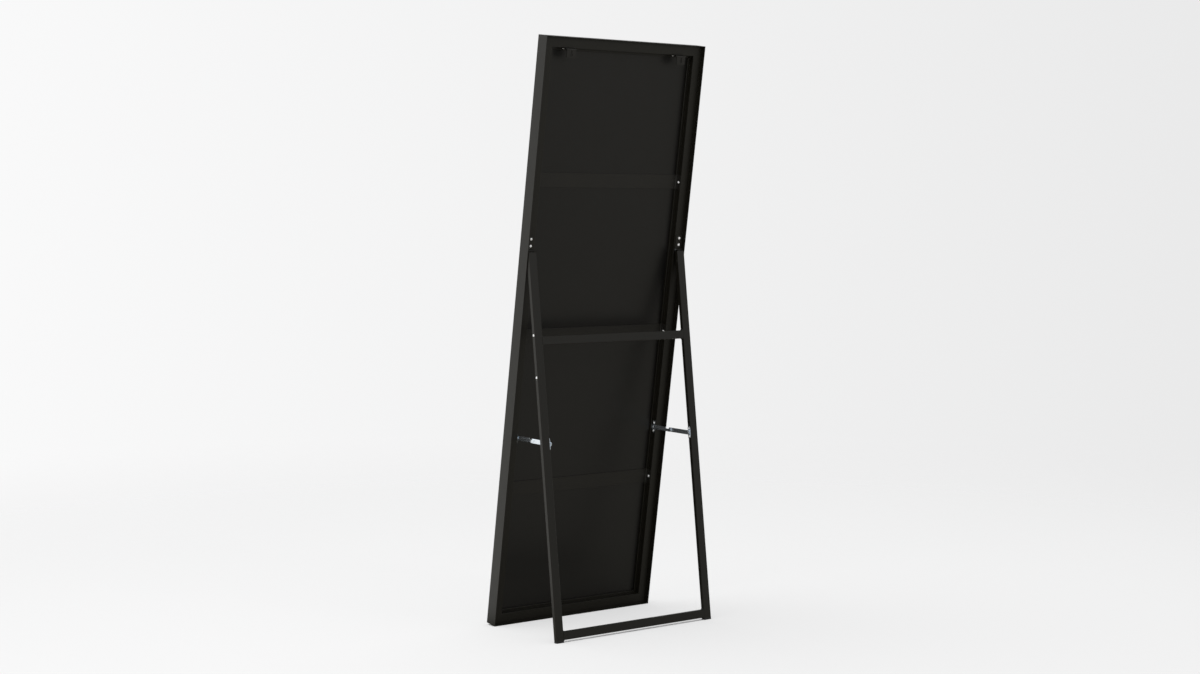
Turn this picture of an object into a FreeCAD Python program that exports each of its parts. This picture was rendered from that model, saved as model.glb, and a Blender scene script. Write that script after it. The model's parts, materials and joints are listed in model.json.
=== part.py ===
"""Floor mirror with a folding easel stand behind it. Millimetres, +Z up.

The mirror is modelled upright with its front at Y = 0, and the stand folded flat into the recess behind
its rails. Then the stand is swung open, and mirror and stand lean back together onto the floor at Z = 0.
Left and right are as seen from the front, so right is +X.
"""

import math
import os

import FreeCAD
import Part

V = FreeCAD.Vector

# Outline and stance
FRAME_WIDTH = 555.0
FRAME_HEIGHT = 1650.0
LEAN = 8.86            # of the mirror, back from upright, degrees
OPEN_ANGLE = 15.65     # between the mirror and the open stand, degrees

# Glazing, from front to back
GLASS = 4.0
FILM = 0.4
BOARD = 2.6
GLASS_GAP = 1.2        # from the glass's edge to the rail's outer wall

# Rail section, seen along the rail
RAIL_WALL = 1.8
LIP = 1.5              # thickness of the front lip
SIGHT = 10.0           # width of the front lip
LEDGE = 28.2           # width of the ledge behind the thin outer rim
RECESS = 12.5          # depth from the rim's edge to the ledge
INNER_WALL = 14.0      # height of the inner wall above the flange
FLANGE = 5.0           # thickness of the flange that holds the board
FLANGE_REACH = 7.0     # from the inner wall inwards
FRONT_EDGE_R = 1.0     # of the outer edge at the front
LIP_EDGE_R = 0.5
LEDGE_EDGE_R = 0.8     # between the ledge and the inner wall
RIM_EDGE_R = 0.6       # of the rim's inner edge
KEY_ARM = 62.0
KEY_GAP = 0.2

# Inside radius of bent sheet, and of the flange's edge that the straps bend over
BEND_R = 1.0

# Straps across the back
BRACE_HEIGHT = 40.0
BRACE_STRAP = 2.0
BRACE_TAB = 12.0
BRACE_PITCH = 435.0
BRACE_SCREW_RISE = 7.0     # from the flange to the screw

# Keyhole hangers under the top rail
HANGER_INSET = 85.5        # from the rail's outer face to the keyhole
HANGER_SHEET = 2.0
HANGER_FLANGE_WIDTH = 36.0
HANGER_PLATE_WIDTH = 30.0
HANGER_DROP = 26.0
HANGER_CORNER_R = 4.0
HANGER_FLANGE_GAP = 1.0    # from the flange of the rail
HANGER_SCREW_PITCH = 27.0
KEYHOLE_R = 4.5
KEYHOLE_SLOT_R = 2.4
KEYHOLE_RISE = 9.0         # from the entry to the slot's end
KEYHOLE_DROP = 17.0        # from the rail to the entry

# Stand
HINGE_HEIGHT = 1067.0      # up the mirror, from its lower edge
LEG_WIDTH = 25.0
LEG_DEPTH = 12.0
LEG_WALL = 1.5
LEG_CORNER = 1.5
LEG_RIM_GAP = 0.8          # from the leg to the rim, folded
LEG_LEDGE_GAP = 0.5        # from the leg to the ledge, folded
LEG_TOP = 4.7              # from the hinge axis down to the tube
BAR_HEIGHT = 23.5
MIDDLE_BAR_DROP = 245.5    # from the hinge axis to the middle of the bar
LOWER_BAR_CLEAR = 5.2      # from the floor to the bar
FOOT_CAP = 4.5
FOOT_PLUG = 18.0
PLUG_GAP = 0.15
SIDE_SCREW_DROPS = (230.0, 345.0)

# Hinge
HINGE_WIDTH = 24.0
HINGE_LEAF = 1.8
HINGE_LEAF_RISE = 42.0
HINGE_LEAF_CORNER_R = 3.0
HINGE_BARREL_R = 3.2
HINGE_BARREL_GAP = 0.4     # from the barrel to the ledge
HINGE_PIN_R = 1.6
HINGE_PIN_HEAD_R = 2.4
HINGE_PIN_HEAD = 0.6
HINGE_PLUG_KNUCKLE = 8.0
HINGE_SIDE_GAP = 0.2
HINGE_NOTCH_GAP = 0.5
HINGE_PLUG_LENGTH = 38.0
HINGE_NECK_HALF = 2.0
HINGE_SCREW_RISES = (13.3, 32.5)
PLUG_SCREW_DROP = 33.5

# Folding stays
STAY_HEIGHT = 539.9        # of the front pivot, up the mirror
STAY_PLATE = 1.5
STAY_PLATE_LENGTH = 35.0
STAY_PLATE_WIDTH = 9.5
STAY_SCREW_PITCH = 23.0
STAY_ARM = 1.6
STAY_ARM_WIDTH = 12.5
STAY_SAG = 0.5             # of the open elbow below the line of the pivots
STAY_GROOVE = 0.4          # depth of the groove along the rear arm
STAY_GROOVE_WIDTH = 3.0
STAY_TAIL_R = 2.0          # of the corners at the rear arm's elbow end
STAY_NOTCH = 4.5           # depth of the notch in the front arm's upper side
STAY_NOTCH_LENGTH = 16.0
STAY_NOTCH_SETBACK = 4.5   # from the elbow to the notch
STAY_NOTCH_R = 2.5
STAY_PIVOT_R = 2.0
STAY_SHOULDER_R = 3.6
STAY_HEAD_R = 3.8
STAY_HEAD_TOP_R = 2.7
STAY_HEAD = 1.0
STAY_FRONT_SHOULDER = 2.1
ELBOW_HEAD_R = 4.2
ELBOW_HEAD = 1.2
ELBOW_TAIL_HEAD = 0.8
ARM_GAP = 0.3              # between the front and the rear arm
HEAD_GAP = 0.1             # beside an arm, along its pivot
ELBOW_SPLIT = 0.08         # from an arm's face to the end of its half of the elbow rivet

# Fasteners
RUNNING_FIT = 0.05
SCREW_R = 1.9
SCREW_HEAD_R = 3.6
SCREW_HEAD_TOP_R = 2.2
SCREW_HEAD = 2.0
SCREW_LENGTH = 9.0
PLUG_SCREW_LENGTH = 12.0
SUNK_HEAD_R = 3.4
SUNK_CROWN = 1.5           # rise of the stays' screws above their plates
SUNK_CROWN_R = 1.8
HOLE_GAP = 0.1
TOUCHING = 1e-6            # points closer than this are one point

# Depths in the upright mirror, from the front
BOARD_BACK = LIP + GLASS + FILM + BOARD
FLANGE_BACK = BOARD_BACK + FLANGE
LEDGE_Y = FLANGE_BACK + INNER_WALL
DEPTH = LEDGE_Y + RECESS

# Distances from the rail's outer face
RAIL = RAIL_WALL + LEDGE
RAIL_REACH = RAIL + FLANGE_REACH

# Places across the mirror
HALF = FRAME_WIDTH / 2
INNER_X = HALF - RAIL
FLANGE_X = HALF - RAIL_REACH
LEG_OUT = HALF - RAIL_WALL - LEG_RIM_GAP
LEG_IN = LEG_OUT - LEG_WIDTH
LEG_X = (LEG_OUT + LEG_IN) / 2
HANGER_X = HALF - HANGER_INSET

# Hinge axis and the folded leg
AXIS_Y = LEDGE_Y + HINGE_BARREL_GAP + HINGE_BARREL_R
LEG_FRONT = LEDGE_Y + LEG_LEDGE_GAP
LEG_BACK = LEG_FRONT + LEG_DEPTH
LEG_Y = (LEG_FRONT + LEG_BACK) / 2

# Stance on the floor, measured from the frame's lower back edge
LEAN_R = math.radians(LEAN)
LEG_LEAN_R = math.radians(OPEN_ANGLE - LEAN)
AXIS_FLOOR_Y = HINGE_HEIGHT * math.sin(LEAN_R) + (AXIS_Y - DEPTH) * math.cos(LEAN_R)
AXIS_FLOOR_Z = HINGE_HEIGHT * math.cos(LEAN_R) - (AXIS_Y - DEPTH) * math.sin(LEAN_R)


def floor_drop(y):
    """Length along the leg from the hinge axis to the floor, at depth y of the folded leg."""
    return (AXIS_FLOOR_Z + (y - AXIS_Y) * math.sin(LEG_LEAN_R)) / math.cos(LEG_LEAN_R)


FOOT_BACK_Y = (AXIS_FLOOR_Y + floor_drop(LEG_BACK) * math.sin(LEG_LEAN_R)
               + (LEG_BACK - AXIS_Y) * math.cos(LEG_LEAN_R))
FRONT_EDGE_Y = (FRONT_EDGE_R - DEPTH) * math.cos(LEAN_R) + FRONT_EDGE_R * (math.sin(LEAN_R) - 1)
CENTRE_Y = (FOOT_BACK_Y + FRONT_EDGE_Y) / 2
LEG_END = floor_drop(LEG_FRONT) - FOOT_CAP

# Stay pivots: folded, the rear pivot lies straight behind the front one
STAY_FRONT_Y = FLANGE_BACK + INNER_WALL / 2
STAY_REAR_Y = LEG_Y
STAY_REAR_DROP = HINGE_HEIGHT - STAY_HEIGHT
FRONT_PLATE_X = INNER_X - STAY_PLATE
FRONT_ARM_X = FRONT_PLATE_X - STAY_FRONT_SHOULDER - HEAD_GAP
REAR_ARM_X = FRONT_ARM_X + ARM_GAP + STAY_ARM
REAR_PLATE_X = LEG_IN - STAY_PLATE


def turned(y, z, angle):
    """A direction in the YZ plane, turned about +X by an angle in radians."""
    return y * math.cos(angle) - z * math.sin(angle), y * math.sin(angle) + z * math.cos(angle)


def rear_pivot_open():
    """The rear pivot of the open stand, in the upright mirror's frame."""
    y, z = turned(STAY_REAR_Y - AXIS_Y, -STAY_REAR_DROP, math.radians(OPEN_ANGLE))
    return AXIS_Y + y, HINGE_HEIGHT + z


REAR_OPEN_Y, REAR_OPEN_Z = rear_pivot_open()
SPAN_Y = REAR_OPEN_Y - STAY_FRONT_Y
SPAN_Z = REAR_OPEN_Z - STAY_HEIGHT
SPAN = math.hypot(SPAN_Y, SPAN_Z)
ARM_LENGTH = math.hypot(SPAN / 2, STAY_SAG)
ELBOW_Y = (STAY_FRONT_Y + REAR_OPEN_Y) / 2 + STAY_SAG * SPAN_Z / SPAN
ELBOW_Z = (STAY_HEIGHT + REAR_OPEN_Z) / 2 - STAY_SAG * SPAN_Y / SPAN


def angle_from_down(y, z):
    """Turn about +X, in degrees, that brings a downward arm to the direction (y, z)."""
    return math.degrees(math.atan2(y, -z))


FRONT_ARM_TURN = angle_from_down(ELBOW_Y - STAY_FRONT_Y, ELBOW_Z - STAY_HEIGHT)
REAR_ARM_TURN = angle_from_down(ELBOW_Y - REAR_OPEN_Y, ELBOW_Z - REAR_OPEN_Z)


def block(x0, x1, y0, y1, z0, z1):
    """Box between two corners."""
    return Part.makeBox(x1 - x0, y1 - y0, z1 - z0, V(x0, y0, z0))


def prism(points, travel):
    """Closed polygon pushed along a vector."""
    return Part.Face(Part.makePolygon(points + points[:1])).extrude(travel)


def rounded_prism(corners, travel):
    """Closed outline pushed along a vector; each corner is a point and the radius that rounds it."""
    bends = []
    for i, (corner, radius) in enumerate(corners):
        to_last = (corners[i - 1][0] - corner).normalize()
        to_next = (corners[(i + 1) % len(corners)][0] - corner).normalize()
        half_angle = to_last.getAngle(to_next) / 2
        reach = radius / math.tan(half_angle)
        inward = (to_last + to_next).normalize()
        middle = corner + inward * (radius / math.sin(half_angle) - radius)
        bends.append((corner + to_last * reach, middle, corner + to_next * reach))
    edges = []
    for i, (start, middle, end) in enumerate(bends):
        before = bends[i - 1][2]
        if not before.isEqual(start, TOUCHING):
            edges.append(Part.LineSegment(before, start).toShape())
        if not start.isEqual(end, TOUCHING):
            edges.append(Part.Arc(start, middle, end).toShape())
    return Part.Face(Part.Wire(edges)).extrude(travel)


def rod(radius, start, end):
    """Cylinder between two points."""
    axis = end - start
    return Part.makeCylinder(radius, axis.Length, start, axis)


def turned_piece(profile):
    """Solid of revolution about Z from a closed list of (radius, z)."""
    wire = Part.makePolygon([V(r, 0, z) for r, z in profile + profile[:1]])
    return Part.Face(wire).revolve(V(0, 0, 0), V(0, 0, 1), 360)


def aimed(shape, place, direction):
    """A piece made along +Z, moved to a place with its +Z along a direction."""
    moved = shape.copy()
    moved.Placement = FreeCAD.Placement(place, FreeCAD.Rotation(V(0, 0, 1), direction))
    return moved


def rounded_bar(width, depth, radius, length):
    """Bar along +Z from Z = 0, centred on Z, with rounded long edges."""
    bar = block(-width / 2, width / 2, -depth / 2, depth / 2, 0, length)
    edges = [e for e in bar.Edges if abs(e.tangentAt(e.FirstParameter).z) > 0.9]
    return bar.makeFillet(radius, edges)


def tube(width, depth, length):
    """Rectangular tube along +Z from Z = 0, centred on Z."""
    inside = block(LEG_WALL - width / 2, width / 2 - LEG_WALL, LEG_WALL - depth / 2, depth / 2 - LEG_WALL,
                   0, length)
    return rounded_bar(width, depth, LEG_CORNER, length).cut(inside)


def pan_screw(length):
    """Screw along Z with a tapered head, its seat at Z = 0."""
    return turned_piece([(0, -length), (SCREW_R, -length), (SCREW_R, 0), (SCREW_HEAD_R, 0),
                         (SCREW_HEAD_TOP_R, SCREW_HEAD), (0, SCREW_HEAD)])


FLAT_HEAD = [(0, 0)]
CROWNED_HEAD = [(0, SUNK_CROWN), (SUNK_CROWN_R, SUNK_CROWN)]


def sunk_screw(length, seat, head):
    """Countersunk screw along Z, its cone as deep as the seat below Z = 0, its head's top as listed."""
    return turned_piece(head + [(SUNK_HEAD_R, 0), (SCREW_R, -seat), (SCREW_R, -length), (0, -length)])


def sunk_hole(length, seat):
    """Hole for a countersunk screw."""
    wide, narrow = SUNK_HEAD_R + HOLE_GAP, SCREW_R + HOLE_GAP
    return turned_piece([(0, 0), (wide, 0), (narrow, -seat), (narrow, -length), (0, -length)])


def round_hole(length, radius=SCREW_R + HOLE_GAP):
    """Straight hole through Z = 0, as deep as the length and as far above it."""
    return Part.makeCylinder(radius, 2 * length, V(0, 0, -length))


def both_sides(make):
    """A piece made for the right side and its mirror image on the left."""
    right = make()
    return right, right.mirror(V(0, 0, 0), V(1, 0, 0))


# Places of the fasteners on the right side, each as (place, direction of the head)
MIDDLE_Z = FRAME_HEIGHT / 2
BRACE_Z = {"upper": MIDDLE_Z + BRACE_PITCH, "middle": MIDDLE_Z, "lower": MIDDLE_Z - BRACE_PITCH}
TAB_X = INNER_X - BRACE_STRAP
HANGER_Z = FRAME_HEIGHT - RAIL
BRACE_SCREWS = [(V(TAB_X, FLANGE_BACK + BRACE_SCREW_RISE, z), V(-1, 0, 0)) for z in BRACE_Z.values()]
HANGER_SCREWS = [(V(HANGER_X + side * HANGER_SCREW_PITCH / 2, STAY_FRONT_Y, HANGER_Z - HANGER_SHEET),
                  V(0, 0, -1)) for side in (-1, 1)]
HINGE_SCREWS = [(V(LEG_X, LEDGE_Y + HINGE_LEAF, HINGE_HEIGHT + rise), V(0, 1, 0))
                for rise in HINGE_SCREW_RISES]
FRONT_STAY_SCREWS = [(V(FRONT_PLATE_X, STAY_FRONT_Y, STAY_HEIGHT + side * STAY_SCREW_PITCH / 2), V(-1, 0, 0))
                     for side in (-1, 1)]
REAR_STAY_Z = HINGE_HEIGHT - STAY_REAR_DROP
REAR_STAY_SCREWS = [(V(REAR_PLATE_X, STAY_REAR_Y, REAR_STAY_Z + side * STAY_SCREW_PITCH / 2), V(-1, 0, 0))
                    for side in (-1, 1)]
PLUG_SCREW = (V(LEG_IN, LEG_Y, HINGE_HEIGHT - PLUG_SCREW_DROP), V(-1, 0, 0))
SIDE_SCREWS = [(V(LEG_OUT, LEG_Y, HINGE_HEIGHT - drop), V(1, 0, 0)) for drop in SIDE_SCREW_DROPS]


def fastened(piece, screw):
    """The same fastener at each of a list of places, on both sides."""
    right = [aimed(piece, *place) for place in screw]
    left = [s.mirror(V(0, 0, 0), V(1, 0, 0)) for s in right]
    return Part.makeCompound(right + left)


def rail(length):
    """Hollow rail along X with its outer face down, its front at Y = 0 and mitred ends."""
    section = [(0, 0, FRONT_EDGE_R), (SIGHT, 0, LIP_EDGE_R), (SIGHT, LIP, 0), (RAIL_WALL, LIP, 0),
               (RAIL_WALL, BOARD_BACK, 0), (RAIL_REACH, BOARD_BACK, 0), (RAIL_REACH, FLANGE_BACK, BEND_R),
               (RAIL, FLANGE_BACK, 0), (RAIL, LEDGE_Y, LEDGE_EDGE_R), (RAIL_WALL, LEDGE_Y, 0),
               (RAIL_WALL, DEPTH, RIM_EDGE_R), (0, DEPTH, 0)]
    half = length / 2
    outside = rounded_prism([(V(-half, y, a), radius) for a, y, radius in section], V(length, 0, 0))
    chamber = block(-half, half, BOARD_BACK + RAIL_WALL, LEDGE_Y - RAIL_WALL, RAIL_WALL, RAIL - RAIL_WALL)
    mitre = prism([V(-half, 0, 0), V(half, 0, 0), V(half - RAIL_REACH, 0, RAIL_REACH),
                   V(RAIL_REACH - half, 0, RAIL_REACH)], V(0, DEPTH, 0))
    return outside.cut(chamber).common(mitre)


def side_rail():
    """Right rail, with the holes for the hinge, the straps and the stay."""
    piece = rail(FRAME_HEIGHT)
    piece.rotate(V(0, 0, 0), V(0, 1, 0), -90)
    piece.translate(V(HALF, 0, MIDDLE_Z))
    for place in BRACE_SCREWS + HINGE_SCREWS + FRONT_STAY_SCREWS:
        piece = piece.cut(aimed(round_hole(SCREW_LENGTH), *place))
    return piece


def top_rail():
    piece = rail(FRAME_WIDTH)
    piece.rotate(V(0, 0, 0), V(0, 1, 0), 180)
    piece.translate(V(0, 0, FRAME_HEIGHT))
    for place, direction in HANGER_SCREWS:
        for side in (1, -1):
            piece = piece.cut(aimed(round_hole(SCREW_LENGTH), V(side * place.x, place.y, place.z), direction))
    return piece


def corner_keys():
    """L-shaped keys that fill the rails' chambers at the four mitres."""
    near, far = RAIL_WALL + KEY_GAP, RAIL - RAIL_WALL - KEY_GAP
    y0, y1 = BOARD_BACK + RAIL_WALL + KEY_GAP, LEDGE_Y - RAIL_WALL - KEY_GAP
    end = near + KEY_ARM
    outline = [(near, near), (end, near), (end, far), (far, far), (far, end), (near, end)]
    key = prism([V(a - HALF, y0, b) for a, b in outline], V(0, y1 - y0, 0))
    lower = [key, key.mirror(V(0, 0, 0), V(1, 0, 0))]
    upper = [k.mirror(V(0, 0, MIDDLE_Z), V(0, 0, 1)) for k in lower]
    return Part.makeCompound(lower + upper)


def sheet(front, thickness):
    """Layer of the glazing, held in the rails' groove."""
    edge = RAIL_WALL + GLASS_GAP
    return block(edge - HALF, HALF - edge, front, front + thickness, edge, FRAME_HEIGHT - edge)


def brace(middle):
    """Strap on the board, cranked at its ends over the flange and up the inner wall."""
    outer_r = BEND_R + BRACE_STRAP
    under = [(FLANGE_X, BOARD_BACK, outer_r), (FLANGE_X, FLANGE_BACK, BEND_R),
             (INNER_X, FLANGE_BACK, outer_r), (INNER_X, FLANGE_BACK + BRACE_TAB, 0)]
    step_x = FLANGE_X - BRACE_STRAP
    over = [(TAB_X, FLANGE_BACK + BRACE_TAB, 0), (TAB_X, FLANGE_BACK + BRACE_STRAP, BEND_R),
            (step_x, FLANGE_BACK + BRACE_STRAP, outer_r), (step_x, BOARD_BACK + BRACE_STRAP, BEND_R)]
    half = under + over
    low = middle - BRACE_HEIGHT / 2
    outline = [(V(x, y, low), r) for x, y, r in half] + [(V(-x, y, low), r) for x, y, r in reversed(half)]
    piece = rounded_prism(outline, V(0, 0, BRACE_HEIGHT))
    for side in (1, -1):
        place = V(side * TAB_X, FLANGE_BACK + BRACE_SCREW_RISE, middle)
        piece = piece.cut(aimed(round_hole(SCREW_LENGTH), place, V(1, 0, 0)))
    return piece


def hanger():
    """Bent bracket on the underside of the top rail, with a keyhole in its plate."""
    front, low, inner_z = FLANGE_BACK + HANGER_FLANGE_GAP, HANGER_Z - HANGER_DROP, HANGER_Z - HANGER_SHEET
    inner_y, outer_r = DEPTH - HANGER_SHEET, BEND_R + HANGER_SHEET
    wide, narrow = HANGER_FLANGE_WIDTH / 2, HANGER_PLATE_WIDTH / 2
    angle = [(front, HANGER_Z, 0), (DEPTH, HANGER_Z, outer_r), (DEPTH, low, 0), (inner_y, low, 0),
             (inner_y, inner_z, BEND_R), (front, inner_z, 0)]
    bent = rounded_prism([(V(HANGER_X - wide, y, z), r) for y, z, r in angle], V(HANGER_FLANGE_WIDTH, 0, 0))
    neck = HANGER_Z - outer_r
    half = [(wide, HANGER_Z, 0), (wide, neck, 0), (narrow, neck, 0), (narrow, low, HANGER_CORNER_R)]
    face = [(x, z, r) for x, z, r in half] + [(-x, z, r) for x, z, r in reversed(half)]
    trim = rounded_prism([(V(HANGER_X + x, front, z), r) for x, z, r in face], V(0, DEPTH - front, 0))
    piece = bent.common(trim)
    entry = V(HANGER_X, inner_y, HANGER_Z - KEYHOLE_DROP)
    through = V(0, HANGER_SHEET, 0)
    slot_end = entry + V(0, 0, KEYHOLE_RISE)
    slot = block(entry.x - KEYHOLE_SLOT_R, entry.x + KEYHOLE_SLOT_R, entry.y, DEPTH, entry.z, slot_end.z)
    piece = piece.cut(rod(KEYHOLE_R, entry, entry + through)).cut(slot)
    piece = piece.cut(rod(KEYHOLE_SLOT_R, slot_end, slot_end + through))
    for place in HANGER_SCREWS:
        piece = piece.cut(aimed(round_hole(SCREW_LENGTH), *place))
    return piece


def hinge_rod(radius, x0, x1):
    """Cylinder on the right hinge's axis, between two distances from the leg's middle."""
    return rod(radius, V(LEG_X + x0, AXIS_Y, HINGE_HEIGHT), V(LEG_X + x1, AXIS_Y, HINGE_HEIGHT))


HINGE_BORE_R = HINGE_PIN_R + RUNNING_FIT


def hinge_leaf():
    """Leaf on the ledge with a knuckle at either end of the pin."""
    half, inner = HINGE_WIDTH / 2, HINGE_PLUG_KNUCKLE / 2 + HINGE_SIDE_GAP
    notch = HINGE_BARREL_R + HINGE_NOTCH_GAP
    side = [(half, HINGE_LEAF_RISE, HINGE_LEAF_CORNER_R), (half, 0, 0), (inner, 0, 0), (inner, notch, 0)]
    outline = side + [(-x, z, r) for x, z, r in reversed(side)]
    piece = rounded_prism([(V(LEG_X + x, LEDGE_Y, HINGE_HEIGHT + z), r) for x, z, r in outline],
                          V(0, HINGE_LEAF, 0))
    piece = piece.fuse([hinge_rod(HINGE_BARREL_R, x0, x1) for x0, x1 in ((-half, -inner), (inner, half))])
    piece = piece.cut(hinge_rod(HINGE_BORE_R, -half, half)).removeSplitter()
    for place in HINGE_SCREWS:
        piece = piece.cut(aimed(round_hole(SCREW_LENGTH), *place))
    return piece


def hinge_pin():
    """Pin with a small head at each end."""
    half = HINGE_WIDTH / 2
    heads = [hinge_rod(HINGE_PIN_HEAD_R, -half - HINGE_PIN_HEAD, -half),
             hinge_rod(HINGE_PIN_HEAD_R, half, half + HINGE_PIN_HEAD)]
    return hinge_rod(HINGE_PIN_R, -half - HINGE_PIN_HEAD, half + HINGE_PIN_HEAD).fuse(heads).removeSplitter()


def hinge_plug():
    """Block in the leg's upper end, with the hinge's middle knuckle on a neck."""
    half = HINGE_PLUG_KNUCKLE / 2
    inset = LEG_WALL + PLUG_GAP
    top = HINGE_HEIGHT - LEG_TOP
    front, back = LEG_FRONT + inset, LEG_BACK - inset
    neck_front, neck_back = AXIS_Y - HINGE_NECK_HALF, AXIS_Y + HINGE_NECK_HALF
    body = block(LEG_IN + inset, LEG_OUT - inset, front, back, top - HINGE_PLUG_LENGTH, top)
    neck = block(LEG_X - half, LEG_X + half, neck_front, neck_back, top, HINGE_HEIGHT)
    piece = body.fuse([neck, hinge_rod(HINGE_BARREL_R, -half, half)])
    piece = piece.cut(hinge_rod(HINGE_BORE_R, -half, half)).removeSplitter()
    return piece.cut(aimed(round_hole(PLUG_SCREW_LENGTH + HOLE_GAP), *PLUG_SCREW))


def leg():
    """Right leg, folded, with the holes of its screws."""
    piece = tube(LEG_WIDTH, LEG_DEPTH, LEG_END - LEG_TOP)
    piece.translate(V(LEG_X, LEG_Y, HINGE_HEIGHT - LEG_END))
    for place in [PLUG_SCREW] + REAR_STAY_SCREWS:
        piece = piece.cut(aimed(round_hole(LEG_WIDTH / 2), *place))
    for place in SIDE_SCREWS:
        piece = piece.cut(aimed(sunk_hole(LEG_WIDTH / 2, LEG_WALL), *place))
    return piece


def crossbar(drop):
    """Bar welded between the legs, its middle at a drop below the hinge axis."""
    piece = tube(BAR_HEIGHT, LEG_DEPTH, 2 * LEG_IN)
    piece.rotate(V(0, 0, 0), V(0, 1, 0), 90)
    piece.translate(V(-LEG_IN, LEG_Y, HINGE_HEIGHT - drop))
    return piece


def foot_cap():
    """Cap under the leg, cut to stand flat on the floor, with a plug inside the tube."""
    base = HINGE_HEIGHT - LEG_END
    tallest = floor_drop(LEG_BACK) - LEG_END
    cap = rounded_bar(LEG_WIDTH, LEG_DEPTH, LEG_CORNER, tallest)
    cap.translate(V(LEG_X, LEG_Y, base - tallest))
    above = [V(LEG_IN, LEG_FRONT, base), V(LEG_IN, LEG_BACK, base),
             V(LEG_IN, LEG_BACK, HINGE_HEIGHT - floor_drop(LEG_BACK)),
             V(LEG_IN, LEG_FRONT, HINGE_HEIGHT - floor_drop(LEG_FRONT))]
    cap = cap.common(prism(above, V(LEG_WIDTH, 0, 0)))
    inset = LEG_WALL + PLUG_GAP
    plug = block(LEG_IN + inset, LEG_OUT - inset, LEG_FRONT + inset, LEG_BACK - inset, base, base + FOOT_PLUG)
    return cap.fuse(plug).removeSplitter()


def link(thickness, width, z0, z1, low_r):
    """Flat bar half a width past two heights, its outer face at X = 0, its upper end round."""
    half = width / 2
    low, high = z0 - half, z1 + half
    outline = [(-half, low, low_r), (half, low, low_r), (half, high, half), (-half, high, half)]
    return rounded_prism([(V(-thickness, y, z), r) for y, z, r in outline], V(thickness, 0, 0))


def stay_plate(x, y, z, screws):
    """Upright plate with round ends, countersunk for its screws and bored for its pivot."""
    reach = (STAY_PLATE_LENGTH - STAY_PLATE_WIDTH) / 2
    plate = link(STAY_PLATE, STAY_PLATE_WIDTH, -reach, reach, STAY_PLATE_WIDTH / 2)
    plate.translate(V(x + STAY_PLATE, y, z))
    for place in screws:
        plate = plate.cut(aimed(sunk_hole(SCREW_LENGTH, STAY_PLATE), *place))
    return plate.cut(rod(STAY_PIVOT_R + RUNNING_FIT, V(x, y, z), V(x + STAY_PLATE, y, z)))


def stay_rivet(outer_x, shoulder, y, z):
    """Shouldered rivet from a plate's back, through the arm, to a head beyond it."""
    arm_side = STAY_PLATE + shoulder
    head = arm_side + STAY_ARM + 2 * HEAD_GAP
    profile = [(0, 0), (STAY_PIVOT_R, 0), (STAY_PIVOT_R, STAY_PLATE), (STAY_SHOULDER_R, STAY_PLATE),
               (STAY_SHOULDER_R, arm_side), (STAY_PIVOT_R, arm_side), (STAY_PIVOT_R, head),
               (STAY_HEAD_R, head), (STAY_HEAD_TOP_R, head + STAY_HEAD), (0, head + STAY_HEAD)]
    return aimed(turned_piece(profile), V(outer_x, y, z), V(-1, 0, 0))


def stay_arm(elbow_r):
    """Flat arm hanging from the X axis, its outer face at X = 0, bored at both ends."""
    arm = link(STAY_ARM, STAY_ARM_WIDTH, -ARM_LENGTH, 0, elbow_r)
    for z in (0, -ARM_LENGTH):
        arm = arm.cut(rod(STAY_PIVOT_R + RUNNING_FIT, V(-STAY_ARM, 0, z), V(0, 0, z)))
    return arm


def front_arm():
    """Arm that narrows to a tongue before the elbow, by a notch in its upper side."""
    low = STAY_NOTCH_SETBACK - ARM_LENGTH
    high = low + STAY_NOTCH_LENGTH
    floor_y, open_y = STAY_ARM_WIDTH / 2 - STAY_NOTCH, STAY_ARM_WIDTH
    outline = [(floor_y, low, STAY_NOTCH_R), (floor_y, high, STAY_NOTCH_R), (open_y, high, 0),
               (open_y, low, 0)]
    notch = rounded_prism([(V(-STAY_ARM, y, z), r) for y, z, r in outline], V(STAY_ARM, 0, 0))
    return stay_arm(STAY_ARM_WIDTH / 2).cut(notch)


def rear_arm():
    """Arm with a groove along its inner face and a square end at the elbow."""
    groove = block(-STAY_ARM, STAY_GROOVE - STAY_ARM, -STAY_GROOVE_WIDTH / 2, STAY_GROOVE_WIDTH / 2,
                   STAY_ARM_WIDTH - ARM_LENGTH, -STAY_ARM_WIDTH)
    return stay_arm(STAY_TAIL_R).cut(groove)


def elbow_half(head, inward):
    """Half of the elbow's rivet: its head beside an arm, its shank to just past the arm."""
    shank = STAY_ARM + ELBOW_SPLIT
    profile = [(0, 0), (STAY_PIVOT_R, 0), (STAY_PIVOT_R, shank), (ELBOW_HEAD_R, shank),
               (ELBOW_HEAD_R, shank + head), (0, shank + head)]
    piece = turned_piece(profile)
    if inward:
        return aimed(piece, V(shank - STAY_ARM, 0, -ARM_LENGTH), V(-1, 0, 0))
    return aimed(piece, V(-shank, 0, -ARM_LENGTH), V(1, 0, 0))


def swung(piece, turn, x, y, z):
    """A hanging arm's piece, turned about its pivot and moved to it."""
    moved = piece.copy()
    moved.rotate(V(0, 0, 0), V(1, 0, 0), turn)
    moved.translate(V(x, y, z))
    return moved


def front_arm_piece(piece):
    return swung(piece, FRONT_ARM_TURN, FRONT_ARM_X, STAY_FRONT_Y, STAY_HEIGHT)


def rear_arm_piece(piece):
    return swung(piece, REAR_ARM_TURN, REAR_ARM_X, REAR_OPEN_Y, REAR_OPEN_Z)


def opened(shape):
    """A piece of the folded stand, swung open about the hinge axis."""
    moved = shape.copy()
    moved.rotate(V(0, AXIS_Y, HINGE_HEIGHT), V(1, 0, 0), OPEN_ANGLE)
    return moved


def standing(shape):
    """A piece of the upright mirror, leaned back onto its lower back edge and centred over the origin."""
    moved = shape.copy()
    moved.rotate(V(0, DEPTH, 0), V(1, 0, 0), -LEAN)
    moved.translate(V(0, -DEPTH - CENTRE_Y, 0))
    return moved


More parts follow.
